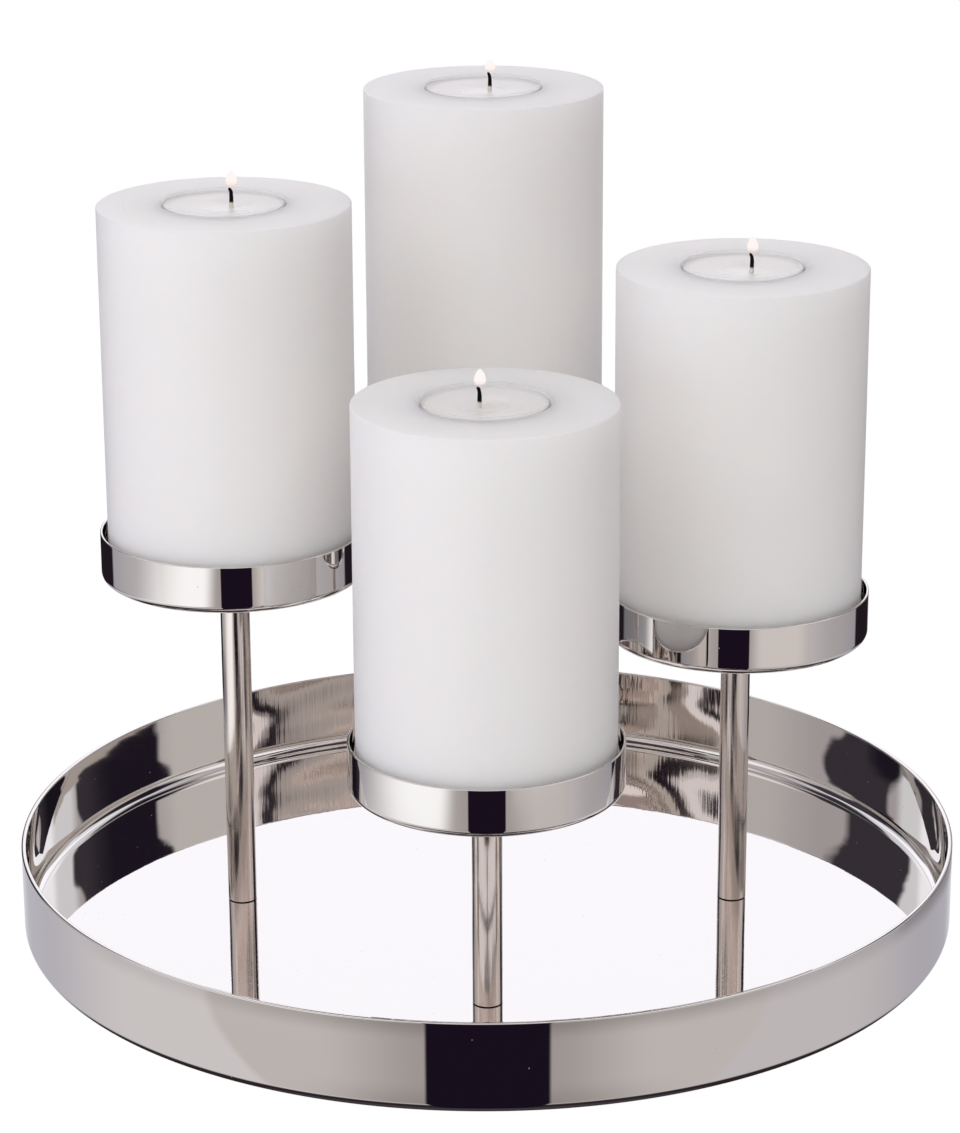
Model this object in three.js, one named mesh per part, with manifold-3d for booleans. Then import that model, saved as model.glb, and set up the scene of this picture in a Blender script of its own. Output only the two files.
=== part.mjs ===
// Four-candle advent tray: a round drawn metal tray carries four stems of stepped height.
// Each stem has a spun cup for a pillar candle, and each pillar holds a tealight in its top.
// Millimetres, +Z up, origin on the table under the middle of the tray, -Y towards the viewer.

import * as THREE from 'three';
import { mergeVertices } from 'three/addons/utils/BufferGeometryUtils.js';
import Module from 'manifold-3d';

const wasm = await Module();
wasm.setup();

// Clearances between pieces that touch on the real object.
const seatGap = 0.3;
const pressGap = 0.15;

// Tray: outside diameter, height from its standing edge to its rim, and sheet thickness.
const trayDiameter = 306;
const trayHeight = 29.5;
const traySheet = 1.5;
const trayCornerRadius = 3;
const trayFilletRadius = 2.4;
const trayRimRadius = 0.6;
const trayFloorLift = 1.2;
const trayStandingWidth = 2.5;

// Felt pads glued into the recess under the tray, set in from the recess's edge.
const padDiameter = 24;
const padThickness = 2.5;
const padInset = 10.3;

// Stems: one length for each holder, set on one pitch circle.
const stemPitchRadius = 81.4;
const stemDiameter = 9.5;
const stemWall = 1;
const stemEndBevel = 0.3;
const stemLengths = { front: 71.7, right: 92.7, left: 113.7, back: 134.7 };
const stemAngles = { front: 270, right: 0, left: 180, back: 90 };

// Threaded inserts pressed into both ends of each stem.
const insertLength = 12;
const insertEndBevel = 0.4;

// Spun cups: they hold the pillar with a little play all round.
const pillarPlay = 1.3;
const cupHeight = 15.6;
const cupSheet = 1.2;
const cupCornerRadius = 3;
const cupRimRadius = 0.45;

// Countersunk screw that holds a cup to its stem, in a cone pressed into the cup's centre.
const cupScrewDiameter = 3;
const cupScrewHeadDiameter = 5.6;
const cupScrewLength = 9;

// Wafer-head screw that holds a stem to the tray from below.
const baseScrewDiameter = 4;
const baseScrewHeadDiameter = 9;
const baseScrewHeadHeight = 1.4;
const baseScrewLength = 10;
const baseScrewHoleGap = 0.3;

// Pillar candles.
const pillarDiameter = 80;
const pillarHeight = 120;
const pillarTopRadius = 1.2;
const pillarFootBevel = 1.2;

// Tealight: clear cup with a bead at its rim, standing a little proud of the pillar.
const tealightDiameter = 39.2;
const tealightHeight = 17;
const tealightWall = 0.6;
const tealightBead = 0.4;
const tealightBeadHeight = 1;
const tealightProud = 1;
const waxLevelBelowRim = 1.2;
const poolDiameter = 15;
const poolDepth = 0.7;

// Wick with its tinned clip.
const wickDiameter = 1.2;
const wickExposedHeight = 5.8;
const wickBend = 1.1;
const clipDiameter = 12;
const clipSheet = 0.4;
const clipNeckWall = 0.4;
const clipNeckHeight = 4;

// Heights and widths that follow from the sizes above.
const trayFloorUnderside = padThickness + seatGap;
const trayBottom = trayFloorUnderside - trayFloorLift;
const trayFloorTop = trayFloorUnderside + traySheet;
const trayTop = trayBottom + trayHeight;
const trayRecessRadius = trayDiameter / 2 - trayCornerRadius - trayStandingWidth - trayFloorLift;
const padPitchRadius = trayRecessRadius - padInset - padDiameter / 2;
const stemBottom = trayFloorTop + seatGap;
const stemBoreRadius = stemDiameter / 2 - stemWall;
const cupDiameter = pillarDiameter + 2 * (pillarPlay + cupSheet);
const recessDiameter = tealightDiameter + 2 * seatGap;
const recessDepth = tealightHeight + seatGap - tealightProud;

// Sides of the round pieces.
const traySides = 80;
const cupSides = 32;
const pillarSides = 32;
const tealightSides = 20;
const stemSides = 16;
const padSides = 16;
const clipSides = 12;
const smallSides = 10;
const wickSides = 6;
const wickSteps = 14;

// Materials, as the photograph shows them.
const polishedMetal = new THREE.MeshStandardMaterial({ color: 0xc9c6c4, roughness: 0.06, metalness: 1 });
const satinMetal = new THREE.MeshStandardMaterial({ color: 0xbfbab4, roughness: 0.3, metalness: 1 });
const plainSteel = new THREE.MeshStandardMaterial({ color: 0x9c9c9c, roughness: 0.35, metalness: 1 });
const brass = new THREE.MeshStandardMaterial({ color: 0xc2a35a, roughness: 0.35, metalness: 1 });
const pillarWax = new THREE.MeshStandardMaterial({ color: 0xece8e6, roughness: 0.5, metalness: 0 });
const tealightWax = new THREE.MeshStandardMaterial({ color: 0xe9e6e2, roughness: 0.35, metalness: 0 });
const clearPlastic = new THREE.MeshStandardMaterial({
  color: 0xf4f4f4, roughness: 0.08, metalness: 0, transparent: true, opacity: 0.35,
});
const wickCotton = new THREE.MeshStandardMaterial({ color: 0x1b1613, roughness: 0.9, metalness: 0 });
const feltGrey = new THREE.MeshStandardMaterial({ color: 0x4a4a4c, roughness: 0.95, metalness: 0 });

// Revolves an outline of (radius, height) about Z. The outline runs anticlockwise with the
// axis on its left, and either closes on itself or starts and ends on the axis.
function revolve(outline, sides, arcSteps = 1) {
  const points = outline.getPoints(arcSteps);
  const distinct = points.filter((point, i) => i === 0 || point.distanceTo(points[i - 1]) > 1e-6);
  return new THREE.LatheGeometry(distinct, sides).rotateX(Math.PI / 2);
}

// A plain round disc from one height to another.
function disc(radius, bottom, top, sides) {
  const outline = new THREE.Path();
  outline.moveTo(0, bottom);
  outline.lineTo(radius, bottom);
  outline.lineTo(radius, top);
  outline.lineTo(0, top);
  return revolve(outline, sides);
}

function toSolid(geometry) {
  const bare = geometry.clone();
  bare.deleteAttribute('normal');
  bare.deleteAttribute('uv');
  const merged = mergeVertices(bare, 1e-5);
  const mesh = new wasm.Mesh({
    numProp: 3,
    vertProperties: merged.attributes.position.array,
    triVerts: Uint32Array.from(merged.index.array),
  });
  return new wasm.Manifold(mesh);
}

function toGeometry(solid) {
  const mesh = solid.getMesh();
  const geometry = new THREE.BufferGeometry();
  geometry.setAttribute('position', new THREE.BufferAttribute(mesh.vertProperties, 3));
  geometry.setIndex(new THREE.BufferAttribute(mesh.triVerts, 1));
  geometry.computeVertexNormals();
  return geometry;
}

function atAngle(radius, degrees) {
  const angle = THREE.MathUtils.degToRad(degrees);
  return new THREE.Vector2(radius * Math.cos(angle), radius * Math.sin(angle));
}

// Tray: drawn sheet with a rounded corner. The floor is pressed up inside a narrow
// standing ring, so the tray stands steady and the screw heads stay off the table.
function trayGeometry() {
  const outer = trayDiameter / 2;
  const inner = outer - traySheet;
  const standingOuter = outer - trayCornerRadius;
  const standingInner = trayRecessRadius + trayFloorLift;
  const outline = new THREE.Path();
  outline.moveTo(0, trayFloorUnderside);
  outline.lineTo(trayRecessRadius, trayFloorUnderside);
  outline.lineTo(standingInner, trayBottom);
  outline.lineTo(standingOuter, trayBottom);
  outline.absarc(standingOuter, trayBottom + trayCornerRadius, trayCornerRadius, -Math.PI / 2, 0, false);
  outline.lineTo(outer, trayTop - trayRimRadius);
  outline.lineTo(outer - trayRimRadius, trayTop);
  outline.lineTo(inner + trayRimRadius / 2, trayTop);
  outline.lineTo(inner, trayTop - trayRimRadius / 2);
  outline.lineTo(inner, trayFloorTop + trayFilletRadius);
  outline.absarc(
    inner - trayFilletRadius, trayFloorTop + trayFilletRadius, trayFilletRadius, 0, -Math.PI / 2, true,
  );
  outline.lineTo(0, trayFloorTop);
  let solid = toSolid(revolve(outline, traySides));
  const holeRadius = baseScrewDiameter / 2 + baseScrewHoleGap;
  for (const angle of Object.values(stemAngles)) {
    const place = atAngle(stemPitchRadius, angle);
    const hole = disc(holeRadius, trayFloorUnderside - traySheet, trayFloorTop + traySheet, smallSides);
    solid = solid.subtract(toSolid(hole.translate(place.x, place.y, 0)));
  }
  return toGeometry(solid);
}

// Stem: a tube cut square, with both ends broken by a small bevel.
function stemGeometry(length) {
  const outer = stemDiameter / 2;
  const outline = new THREE.Path();
  outline.moveTo(stemBoreRadius, 0);
  outline.lineTo(outer - stemEndBevel, 0);
  outline.lineTo(outer, stemEndBevel);
  outline.lineTo(outer, length - stemEndBevel);
  outline.lineTo(outer - stemEndBevel, length);
  outline.lineTo(stemBoreRadius, length);
  outline.lineTo(stemBoreRadius, 0);
  return revolve(outline, stemSides);
}

// Cone of the cup's dimple, 90 degrees across: its radius on the cup floor, the radius of
// its hole, and how far the sheet's underside lies below the top one.
const dimpleRadius = cupScrewHeadDiameter / 2 + seatGap;
const dimpleHole = cupScrewDiameter / 2 + pressGap;
const dimpleDrop = cupSheet * Math.SQRT2;
const dimpleDepth = dimpleRadius - dimpleHole;

// Cup: a shallow spun dish. Its centre is pressed down into a cone that nests in the
// countersunk mouth of the stem's insert and takes the screw head flush.
function cupGeometry() {
  const outer = cupDiameter / 2;
  const inner = outer - cupSheet;
  const fillet = cupCornerRadius - cupSheet;
  const dimpleUnderside = dimpleRadius + dimpleDrop - cupSheet;
  const outline = new THREE.Path();
  outline.moveTo(dimpleHole, cupSheet - dimpleDepth);
  outline.lineTo(dimpleHole, cupSheet - dimpleDepth - dimpleDrop);
  outline.lineTo(dimpleUnderside, 0);
  outline.lineTo(outer - cupCornerRadius, 0);
  outline.absarc(outer - cupCornerRadius, cupCornerRadius, cupCornerRadius, -Math.PI / 2, 0, false);
  outline.lineTo(outer, cupHeight - cupRimRadius);
  outline.lineTo(outer - cupRimRadius, cupHeight);
  outline.lineTo(inner + cupRimRadius / 2, cupHeight);
  outline.lineTo(inner, cupHeight - cupRimRadius / 2);
  outline.absarc(inner - fillet, cupSheet + fillet, fillet, 0, -Math.PI / 2, true);
  outline.lineTo(dimpleRadius, cupSheet);
  outline.lineTo(dimpleHole, cupSheet - dimpleDepth);
  return revolve(outline, cupSides);
}

// Top insert: tapped for the cup screw, with a mouth countersunk for the dimple. Its
// height 0 is the stem's top end.
function topInsertGeometry() {
  const outer = stemBoreRadius - pressGap;
  const bore = cupScrewDiameter / 2 + pressGap;
  const dimpleUnderside = dimpleRadius + dimpleDrop - cupSheet;
  const coneDrop = seatGap * Math.SQRT2;
  const mouth = Math.min(outer - insertEndBevel / 2, dimpleUnderside);
  const mouthTop = seatGap - coneDrop - (dimpleUnderside - mouth);
  const outline = new THREE.Path();
  outline.moveTo(bore, -insertLength);
  outline.lineTo(outer - insertEndBevel, -insertLength);
  outline.lineTo(outer, -insertLength + insertEndBevel);
  outline.lineTo(outer, mouthTop);
  outline.lineTo(mouth, mouthTop);
  outline.lineTo(bore, mouthTop - (mouth - bore));
  outline.lineTo(bore, -insertLength);
  return revolve(outline, smallSides);
}

// Bottom insert: tapped for the base screw. Its height 0 is the stem's bottom end.
function bottomInsertGeometry() {
  const outer = stemBoreRadius - pressGap;
  const bore = baseScrewDiameter / 2 + pressGap;
  const outline = new THREE.Path();
  outline.moveTo(bore, 0);
  outline.lineTo(outer, 0);
  outline.lineTo(outer, insertLength - insertEndBevel);
  outline.lineTo(outer - insertEndBevel, insertLength);
  outline.lineTo(bore, insertLength);
  outline.lineTo(bore, 0);
  return revolve(outline, smallSides);
}

// Cup screw: its flat head is flush with the cup's floor, which is height 0.
function cupScrewGeometry() {
  const head = cupScrewHeadDiameter / 2;
  const shank = cupScrewDiameter / 2;
  const outline = new THREE.Path();
  outline.moveTo(0, -cupScrewLength);
  outline.lineTo(shank, -cupScrewLength);
  outline.lineTo(shank, shank - head);
  outline.lineTo(head, 0);
  outline.lineTo(0, 0);
  return revolve(outline, smallSides);
}

// Base screw: its wide flat head lies under the tray's floor, and height 0 is the head's top.
function baseScrewGeometry() {
  const head = baseScrewHeadDiameter / 2;
  const shank = baseScrewDiameter / 2;
  const outline = new THREE.Path();
  outline.moveTo(0, -baseScrewHeadHeight);
  outline.lineTo(head - baseScrewHeadHeight / 2, -baseScrewHeadHeight);
  outline.lineTo(head, -baseScrewHeadHeight / 2);
  outline.lineTo(head, 0);
  outline.lineTo(shank, 0);
  outline.lineTo(shank, baseScrewLength);
  outline.lineTo(0, baseScrewLength);
  return revolve(outline, smallSides);
}

// Pillar: a moulded candle with a rounded shoulder, a bevelled foot and a round recess in
// its top for the tealight.
function pillarGeometry() {
  const outer = pillarDiameter / 2;
  const recess = recessDiameter / 2;
  const outline = new THREE.Path();
  outline.moveTo(0, 0);
  outline.lineTo(outer - pillarFootBevel, 0);
  outline.lineTo(outer, pillarFootBevel);
  outline.lineTo(outer, pillarHeight - pillarTopRadius);
  outline.absarc(
    outer - pillarTopRadius, pillarHeight - pillarTopRadius, pillarTopRadius, 0, Math.PI / 2, false,
  );
  outline.lineTo(recess, pillarHeight);
  outline.lineTo(recess, pillarHeight - recessDepth);
  outline.lineTo(0, pillarHeight - recessDepth);
  return revolve(outline, pillarSides);
}

// Tealight cup: a thin clear wall with a bead outside its rim. Height 0 is its underside.
function tealightCupGeometry() {
  const bead = tealightDiameter / 2;
  const outer = bead - tealightBead;
  const inner = outer - tealightWall;
  const beadBottom = tealightHeight - tealightBeadHeight;
  const outline = new THREE.Path();
  outline.moveTo(0, 0);
  outline.lineTo(outer - tealightWall, 0);
  outline.lineTo(outer, tealightWall);
  outline.lineTo(outer, beadBottom - tealightBead);
  outline.lineTo(bead, beadBottom);
  outline.lineTo(bead, tealightHeight);
  outline.lineTo(inner, tealightHeight);
  outline.lineTo(inner, tealightWall);
  outline.lineTo(0, tealightWall);
  return revolve(outline, tealightSides);
}

// Tealight wax: fills the cup, with a shallow melt pool round the wick, a bore for the wick
// and a pocket for the clip underneath. Height 0 is the cup's underside.
const wickBore = wickDiameter / 2 + seatGap;
const waxTop = tealightHeight - waxLevelBelowRim;
const clipBottom = tealightWall + seatGap;
const neckRadius = wickBore + clipNeckWall;

function tealightWaxGeometry() {
  const outer = tealightDiameter / 2 - tealightBead - tealightWall - seatGap;
  const clipPocket = clipDiameter / 2 + seatGap;
  const neckPocket = neckRadius + seatGap;
  const clipPocketTop = clipBottom + clipSheet + seatGap;
  const neckPocketTop = clipBottom + clipNeckHeight + seatGap;
  const outline = new THREE.Path();
  outline.moveTo(clipPocket, tealightWall + seatGap);
  outline.lineTo(outer, tealightWall + seatGap);
  outline.lineTo(outer, waxTop);
  outline.lineTo(poolDiameter / 2, waxTop);
  outline.lineTo(poolDiameter / 4, waxTop - poolDepth);
  outline.lineTo(wickBore, waxTop - poolDepth / 2);
  outline.lineTo(wickBore, neckPocketTop);
  outline.lineTo(neckPocket, neckPocketTop);
  outline.lineTo(neckPocket, clipPocketTop);
  outline.lineTo(clipPocket, clipPocketTop);
  outline.lineTo(clipPocket, tealightWall + seatGap);
  return revolve(outline, tealightSides);
}

// Wick clip: a tinned disc with a raised neck that grips the wick.
function wickClipGeometry() {
  const outline = new THREE.Path();
  outline.moveTo(wickBore, 0);
  outline.lineTo(clipDiameter / 2, 0);
  outline.lineTo(clipDiameter / 2, clipSheet);
  outline.lineTo(neckRadius, clipSheet);
  outline.lineTo(neckRadius, clipNeckHeight);
  outline.lineTo(wickBore, clipNeckHeight);
  outline.lineTo(wickBore, 0);
  return revolve(outline, clipSides);
}

// Wick: straight through the wax, curling over to the left above it as it burns.
function wickGeometry() {
  const exposedStart = waxTop;
  const tip = waxTop + wickExposedHeight;
  const straight = new THREE.LineCurve3(
    new THREE.Vector3(0, 0, clipBottom), new THREE.Vector3(0, 0, exposedStart),
  );
  const curl = new THREE.QuadraticBezierCurve3(
    new THREE.Vector3(0, 0, exposedStart),
    new THREE.Vector3(0, 0, tip - wickDiameter / 2),
    new THREE.Vector3(-wickBend, 0, tip - wickDiameter / 4),
  );
  const path = new THREE.CurvePath();
  path.add(straight);
  path.add(curl);
  const section = new THREE.Shape();
  section.absarc(0, 0, wickDiameter / 2, 0, 2 * Math.PI, false);
  const sweep = { extrudePath: path, steps: wickSteps, curveSegments: wickSides };
  return new THREE.ExtrudeGeometry(section, sweep);
}

const wreath = new THREE.Group();

function addPiece(parent, name, geometry, material, height = 0) {
  const mesh = new THREE.Mesh(geometry, material);
  mesh.name = name;
  mesh.position.z = height;
  parent.add(mesh);
  return mesh;
}

addPiece(wreath, 'tray', trayGeometry(), polishedMetal);

const padAngles = { front_right: 315, front_left: 225, back_left: 135, back_right: 45 };
for (const [place, angle] of Object.entries(padAngles)) {
  const padShape = disc(padDiameter / 2, 0, padThickness, padSides);
  const pad = addPiece(wreath, `felt_pad_${place}`, padShape, feltGrey);
  const spot = atAngle(padPitchRadius, angle);
  pad.position.x = spot.x;
  pad.position.y = spot.y;
}

// One holder: stem with its inserts and screws, and the cup on top.
function addHolder(place) {
  const holder = new THREE.Group();
  const spot = atAngle(stemPitchRadius, stemAngles[place]);
  holder.position.set(spot.x, spot.y, 0);
  wreath.add(holder);

  const stemTop = stemBottom + stemLengths[place];
  const cupBottom = stemTop + seatGap;
  addPiece(holder, `stem_${place}`, stemGeometry(stemLengths[place]), satinMetal, stemBottom);
  addPiece(holder, `stem_insert_bottom_${place}`, bottomInsertGeometry(), brass, stemBottom);
  addPiece(holder, `stem_insert_top_${place}`, topInsertGeometry(), brass, stemTop);
  addPiece(holder, `base_screw_${place}`, baseScrewGeometry(), plainSteel, trayFloorUnderside - seatGap);
  addPiece(holder, `cup_${place}`, cupGeometry(), polishedMetal, cupBottom);
  addPiece(holder, `cup_screw_${place}`, cupScrewGeometry(), plainSteel, cupBottom + cupSheet);
  return { holder, cupFloor: cupBottom + cupSheet };
}

// One candle: the pillar standing in its cup, with the tealight in the pillar's recess.
function addCandle(place, holder, cupFloor) {
  const pillarBottom = cupFloor + seatGap;
  addPiece(holder, `pillar_candle_${place}`, pillarGeometry(), pillarWax, pillarBottom);

  const tealight = new THREE.Group();
  tealight.position.z = pillarBottom + pillarHeight - recessDepth + seatGap;
  holder.add(tealight);
  addPiece(tealight, `tealight_cup_${place}`, tealightCupGeometry(), clearPlastic);
  addPiece(tealight, `tealight_wax_${place}`, tealightWaxGeometry(), tealightWax);
  addPiece(tealight, `wick_clip_${place}`, wickClipGeometry(), plainSteel, clipBottom);
  addPiece(tealight, `wick_${place}`, wickGeometry(), wickCotton);
}

for (const place of Object.keys(stemLengths)) {
  const { holder, cupFloor } = addHolder(place);
  addCandle(place, holder, cupFloor);
}

export default wreath;
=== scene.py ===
"""Looks, light and camera for the four-candle metal tray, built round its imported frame.

Metres, +Z up, -Y towards the viewer. The tray, stems, cups, screws, candles and tealights are
turned pieces: one Geometry Nodes tree revolves each one's outline. The wicks are swept. The
stems' brass inserts and the wicks' clips come straight from the frame.
"""

import math

import bmesh
import bpy
from mathutils import Matrix, Vector


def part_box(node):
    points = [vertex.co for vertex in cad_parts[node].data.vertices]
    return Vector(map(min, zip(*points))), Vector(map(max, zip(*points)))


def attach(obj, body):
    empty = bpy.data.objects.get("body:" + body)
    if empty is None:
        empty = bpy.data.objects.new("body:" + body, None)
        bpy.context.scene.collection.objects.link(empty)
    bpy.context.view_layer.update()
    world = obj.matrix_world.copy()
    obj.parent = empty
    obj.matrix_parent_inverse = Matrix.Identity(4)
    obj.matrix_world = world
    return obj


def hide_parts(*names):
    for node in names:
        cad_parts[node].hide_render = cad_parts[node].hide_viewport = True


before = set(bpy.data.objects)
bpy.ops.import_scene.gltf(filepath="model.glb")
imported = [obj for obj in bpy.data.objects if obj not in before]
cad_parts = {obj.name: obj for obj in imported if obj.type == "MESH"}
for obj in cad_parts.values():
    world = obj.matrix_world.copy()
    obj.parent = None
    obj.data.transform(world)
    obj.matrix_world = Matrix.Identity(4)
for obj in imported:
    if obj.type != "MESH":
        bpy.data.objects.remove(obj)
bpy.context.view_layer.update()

# Camera: the photograph's viewing angle, in pixels of its 960 x 1133 frame.
IMAGE_WIDTH = 960
IMAGE_HEIGHT = 1133
CAMERA_FOCAL_PIXELS = 3562.8
CAMERA_PLACE = (-0.00086, -1.09309, 0.48313)
CAMERA_YAW = -0.05
CAMERA_PITCH = -18.37
CAMERA_ROLL = -0.28
SENSOR_WIDTH = 36.0

# Where the four holders stand.
PLACES = ("front", "right", "left", "back")
PAD_PLACES = ("front_right", "front_left", "back_left", "back_right")

# Tray: sheet and rounds. Its diameter and heights come from the frame.
TRAY_SHEET = 0.0015
TRAY_CORNER_RADIUS = 0.003
TRAY_FILLET_RADIUS = 0.0037
TRAY_RIM_RADIUS = 0.00055
TRAY_FLOOR_LIFT = 0.0012
TRAY_STANDING_WIDTH = 0.0025
TRAY_PRESS_RADIUS = 0.0009
TRAY_FLOOR_RING = 0.095
SCREW_HOLE_RADIUS = 0.0023
SCREW_HOLE_SIDES = 32

# Dents in the tray's inner wall, between two radii; depths in millimetres. They fade in
# between two places going back.
DENTS_START = 0.1485
DENTS_END = 0.1513
DENTED_BACK = (0.107, 0.129)
DENT_SCALES = (20.0, 20.0, 75.0)
DENT_SEED = 3.0
DEEP_DENT = 0.75
STREAK_SCALES = (900.0, 900.0, 30.0)
STREAK_DEPTH = 0.004

# Fine marks: how far apart two pieces' rings are drawn, and which cells bear a speck.
RING_SHIFT = 7.3
SPECK_CHANCE = 0.35

# Stems.
STEM_WALL = 0.001
STEM_END_RADIUS = 0.00002

# Cups: sheet, rounds, and the cone pressed into the middle for the screw.
CUP_SHEET = 0.0012
CUP_WALL = 0.0008
CUP_CORNER_RADIUS = 0.0025
CUP_RIM_RADIUS = 0.0003
DIMPLE_RADIUS = 0.0031
DIMPLE_HOLE = 0.00165
CONE_ROUND = 0.0002

# Screws with a hexagon socket.
CUP_SCREW_SHANK = 0.0015
CUP_SCREW_SOCKET = 0.00115
CUP_SCREW_SOCKET_DEPTH = 0.0012
BASE_SCREW_SHANK = 0.002
BASE_SCREW_HEAD_HEIGHT = 0.0014
BASE_SCREW_SOCKET = 0.0014
BASE_SCREW_SOCKET_DEPTH = 0.0009
BASE_SCREW_HEAD_RADIUS = 0.0006
SCREW_EDGE_RADIUS = 0.0002
SCREW_RIM_RADIUS = 0.00005

# Felt pads.
PAD_EDGE_RADIUS = 0.0005

# Pillars and the recess that takes the tealight.
PILLAR_SHOULDER_RADIUS = 0.00045
PILLAR_FOOT_RADIUS = 0.0014
RECESS_RADIUS = 0.01967
RECESS_DEPTH = 0.0163
RECESS_EDGE_RADIUS = 0.00015
WAX_UNEVENNESS = 0.00012
WAX_UNEVEN_SCALE = 28.0

# Tealights: the clear cup and its wax.
TEALIGHT_WALL = 0.0005
TEALIGHT_BEAD = 0.0002
TEALIGHT_BEAD_HEIGHT = 0.0006
TEALIGHT_BEAD_ROUND = 0.0001
TEALIGHT_RIM_OUTSIDE = 0.0003
TEALIGHT_RIM_INSIDE = 0.0002
TEALIGHT_FLOOR_ROUND = 0.0004
TEALIGHT_FIT_GAP = 0.00012
TEALIGHT_WAX_SINK = 0.0003
POOL_RADIUS = 0.0078
POOL_DEPTH = 0.0009
POOL_EDGE_WIDTH = 0.009
MENISCUS = 0.0005
WAX_CREEP = ((0.0, 1.0), (0.0004, 0.3), (0.0012, 0.05), (0.0025, 0.0))
CLIP_POCKET_RADIUS = 0.0063
CLIP_POCKET_HEIGHT = 0.0007
NECK_POCKET_RADIUS = 0.0016
NECK_POCKET_HEIGHT = 0.0043

# Wicks and flames. Each wick has wandered its own way, and the flames' heights differ.
WICK_RADIUS = 0.0006
WICK_COLLAR_RADIUS = 0.0009
WICK_TIP_RADIUS = 0.00045
WICK_BOW = 0.0013
WICK_CURL = 0.00035
WICK_COLLAR_HEIGHT = 0.0018
WICK_BURNT_AWAY = 0.0009
WICK_SHOULDER = 0.75
WICK_COLLAR_FULL = 0.55
WICK_TAPER_START = 0.8
WICK_FRAY = (0.00028, 0.00028, 0.0001)
WICK_FRAY_SCALE = 1400.0
WICK_SHIFTS = {
    "front": (-0.0021, -0.0004), "right": (0.0021, -0.0025),
    "left": (0.0019, 0.0006), "back": (0.0017, 0.0),
}
FLAME_HEIGHTS = {"front": 0.0056, "right": 0.0057, "left": 0.0058, "back": 0.0044}
FLAME_RADIUS = 0.0019
FLAME_LOW_WAIST = 0.75
FLAME_BLUNTNESS = 0.62
FLAME_LIFT = 0.0003
FLAME_SHIFT = 0.0006

# How finely the turned and swept pieces are divided.
TRAY_SIDES = 320
CUP_SIDES = 192
PILLAR_SIDES = 192
TEALIGHT_SIDES = 128
STEM_SIDES = 64
SMALL_SIDES = 48
PILLAR_ROWS = 24
POOL_ROWS = 8
FLAME_ROWS = 28
WICK_SIDES = 20
WICK_STEPS = 48
ARC_STEP = math.radians(13)
GUARD = 0.00008
SHARP_EDGE = math.radians(38)
MERGE_DISTANCE = 0.000001
FLAT_FACE = 0.9999995

# Stage: the floor, and the tent of reflectors that only the metal and glass see.
FLOOR_SIZE = 12.0
FLOOR_DROP = 0.00005
FLOOR_WHITE_SHARE = 0.96
TENT_RADIUS = 0.75
TENT_HALF_HEIGHT = 1.5
TENT_SIDES = 180
LAMP_AIM = Vector((0.0, 0.0, 0.15))

# Tones of the room and of the tent's cloth.
ROOM_FILL = (0.39, 0.37, 0.405)
ROOM_CEILING = (0.06, 0.05, 0.06)
TENT_SLIT = (0.0107, 0.0063, 0.0153)
TENT_GAP = (0.016, 0.011, 0.016)
TENT_DARK = (0.03, 0.02, 0.025)
TENT_FRONT = (0.42, 0.385, 0.375)
TENT_FLANK = (0.61, 0.573, 0.56)
TENT_OUTER_LEFT = (0.72, 0.689, 0.705)
TENT_OUTER_RIGHT = (0.625, 0.595, 0.612)
TENT_FAR_LEFT = (0.525, 0.515, 0.572)
TENT_FAR_RIGHT = (0.47, 0.454, 0.506)
TENT_BACK_LOW = (0.66, 0.67, 0.71)
TENT_WINDOW = (1.16, 1.17, 1.19)
TENT_RIGHT_LIGHT = (0.72, 0.67, 0.65)
TENT_WHITE = (1.3, 1.3, 1.3)
TENT_LEFT_HIGH = (0.68, 0.655, 0.645)
TENT_RIGHT_HIGH = (0.63, 0.605, 0.61)
TENT_SIDE_HIGH = (0.5, 0.475, 0.49)
TENT_FRONT_HIGH = (0.5, 0.46, 0.44)
TENT_FRONT_TOP = (1.05, 1.02, 1.05)
TENT_BACK_SIDE = (0.86, 0.87, 0.92)
TENT_BACK = (1.18, 1.18, 1.26)
TENT_OPENING_DARK = (0.016, 0.0115, 0.022)
TENT_OPENING_PALE = (0.05, 0.043, 0.055)
TENT_SILL = (0.5, 0.45, 0.43)
TENT_SILL_DIM = (0.27, 0.245, 0.26)
BACK_WALL_DARK = (0.15, 0.11, 0.11)
BACK_WALL_BROWN = (0.4, 0.32, 0.31)
BACK_WALL_BEIGE = (0.68, 0.57, 0.52)
BACK_WALL_PALE = (1.0, 0.9, 0.87)

# Lines in the tent: angles in degrees, heights in metres.
ARC_TOP = 0.26
ARC_BEND = 8600.0
ARC_ANGLE = 64.0
FOLD_TOP = 0.257
FOLD_BEND = 0.00000095
WALL_FOOT = 0.3548
WALL_FOOT_SLOPE = 0.000116
OPENING_ONE_NEAR = (
    105.0, [(0.303, 0.311, -1.3), (0.322, 0.337, -4.7), (0.338, 0.352, 6.2), (0.368, 0.396, -6.8)],
)
OPENING_ONE_FAR = (143.0, [(0.322, 0.334, -4.0), (0.336, 0.35, 7.0), (0.362, 0.384, -6.0)])
OPENING_TWO_NEAR = (
    117.0, [(0.297, 0.309, -6.0), (0.309, 0.322, -3.5), (0.326, 0.348, 10.5), (0.362, 0.388, -7.0)],
)
OPENING_TWO_FAR = (145.0, [(0.296, 0.322, -7.0), (0.328, 0.346, 14.5), (0.352, 0.384, -7.5)])


# Small helpers for objects and node trees.

def add_object(name, data, *unseen_by):
    """Puts an object into the scene, unseen by some kinds of ray."""
    made = bpy.data.objects.new(name, data)
    bpy.context.scene.collection.objects.link(made)
    for ray in unseen_by:
        setattr(made, "visible_" + ray, False)
    return made


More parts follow.
